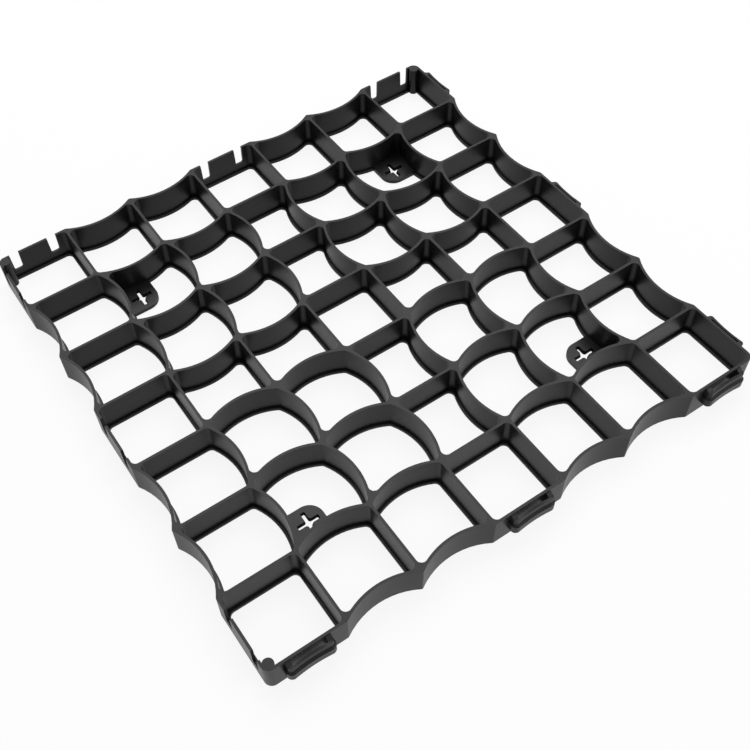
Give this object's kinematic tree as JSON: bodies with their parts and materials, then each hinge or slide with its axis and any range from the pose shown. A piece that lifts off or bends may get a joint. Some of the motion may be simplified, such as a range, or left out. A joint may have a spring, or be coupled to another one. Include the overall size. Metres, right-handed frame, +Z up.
{
  "type": "grass paver grid",
  "caption": "Square moulded plastic ground grid of open cells with bowed walls, edge loops and notches that lock panels together, and stake plates; reinforces grass or gravel",
  "frame": {"origin": "middle of the bottom of the whole footprint, loops included, on the ground", "axes": "+Z up, X and Y along the panel's edges; loops on the edges at low Y and high X, notches on the edges at high Y and low X"},
  "size_m": [0.508, 0.508, 0.031],
  "materials": {
    "black_plastic": "satin moulded polypropylene"
  },
  "bodies": {
    "root": {"paver_grid": "black_plastic"}
  },
  "joints": []
}
